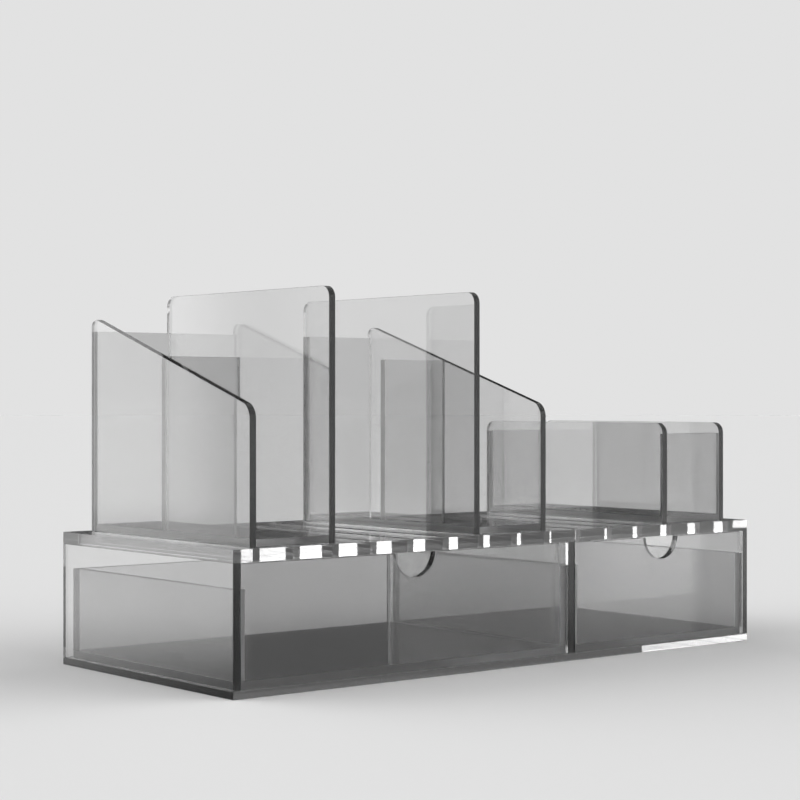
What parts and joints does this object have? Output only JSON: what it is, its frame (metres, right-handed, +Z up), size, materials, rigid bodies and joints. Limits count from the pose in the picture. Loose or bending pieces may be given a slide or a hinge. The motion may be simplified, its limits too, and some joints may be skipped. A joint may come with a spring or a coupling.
{
  "type": "desk organizer with drawers",
  "caption": "Clear acrylic desk organizer: a low cabinet with side-by-side drawers under a grooved top plate, with pen, clip and card holders standing in the grooves.",
  "frame": {"origin": "on the table, under the middle of the base plate", "axes": "+X to the right along the drawer fronts, +Y from the drawer fronts to the back, +Z up"},
  "size_m": [0.288, 0.1274, 0.1567],
  "materials": {
    "cabinet_acrylic": "clear cast acrylic, polished edges",
    "drawer_acrylic": "clear cast acrylic, polished edges",
    "holder_acrylic": "clear cast acrylic, polished edges"
  },
  "bodies": {
    "cabinet": {"base_plate": "cabinet_acrylic", "left_wall": "cabinet_acrylic", "centre_divider": "cabinet_acrylic", "right_wall": "cabinet_acrylic", "grooved_top_plate": "cabinet_acrylic"},
    "left_drawer": {"left_drawer_front": "drawer_acrylic", "left_drawer_floor": "drawer_acrylic", "left_drawer_left_side": "drawer_acrylic", "left_drawer_right_side": "drawer_acrylic", "left_drawer_back": "drawer_acrylic"},
    "right_drawer": {"right_drawer_front": "drawer_acrylic", "right_drawer_floor": "drawer_acrylic", "right_drawer_left_side": "drawer_acrylic", "right_drawer_right_side": "drawer_acrylic", "right_drawer_back": "drawer_acrylic"},
    "pen_holder": {"pen_holder_sloped_side": "holder_acrylic", "pen_holder_tall_side": "holder_acrylic", "pen_holder_floor": "holder_acrylic", "pen_holder_middle_wall": "holder_acrylic", "pen_holder_rear_wall": "holder_acrylic"},
    "clip_holder": {"clip_holder_tall_side": "holder_acrylic", "clip_holder_sloped_side": "holder_acrylic", "clip_holder_floor": "holder_acrylic", "clip_holder_middle_wall": "holder_acrylic", "clip_holder_rear_wall": "holder_acrylic"},
    "card_holder": {"card_holder_left_side": "holder_acrylic", "card_holder_right_side": "holder_acrylic", "card_holder_floor": "holder_acrylic", "card_holder_front_wall": "holder_acrylic", "card_holder_rear_wall": "holder_acrylic"}
  },
  "joints": [
    {"name": "left_drawer_slide", "type": "slide", "parent": "cabinet", "child": "left_drawer", "axis": [0, -1, 0], "range_m": [0, 0.1]},
    {"name": "right_drawer_slide", "type": "slide", "parent": "cabinet", "child": "right_drawer", "axis": [0, -1, 0], "range_m": [0, 0.1]},
    {"name": "pen_holder_lift", "type": "slide", "parent": "cabinet", "child": "pen_holder", "axis": [0, 0, 1], "range_m": [0, 0.06]},
    {"name": "clip_holder_lift", "type": "slide", "parent": "cabinet", "child": "clip_holder", "axis": [0, 0, 1], "range_m": [0, 0.06]},
    {"name": "card_holder_lift", "type": "slide", "parent": "cabinet", "child": "card_holder", "axis": [0, 0, 1], "range_m": [0, 0.06]}
  ]
}
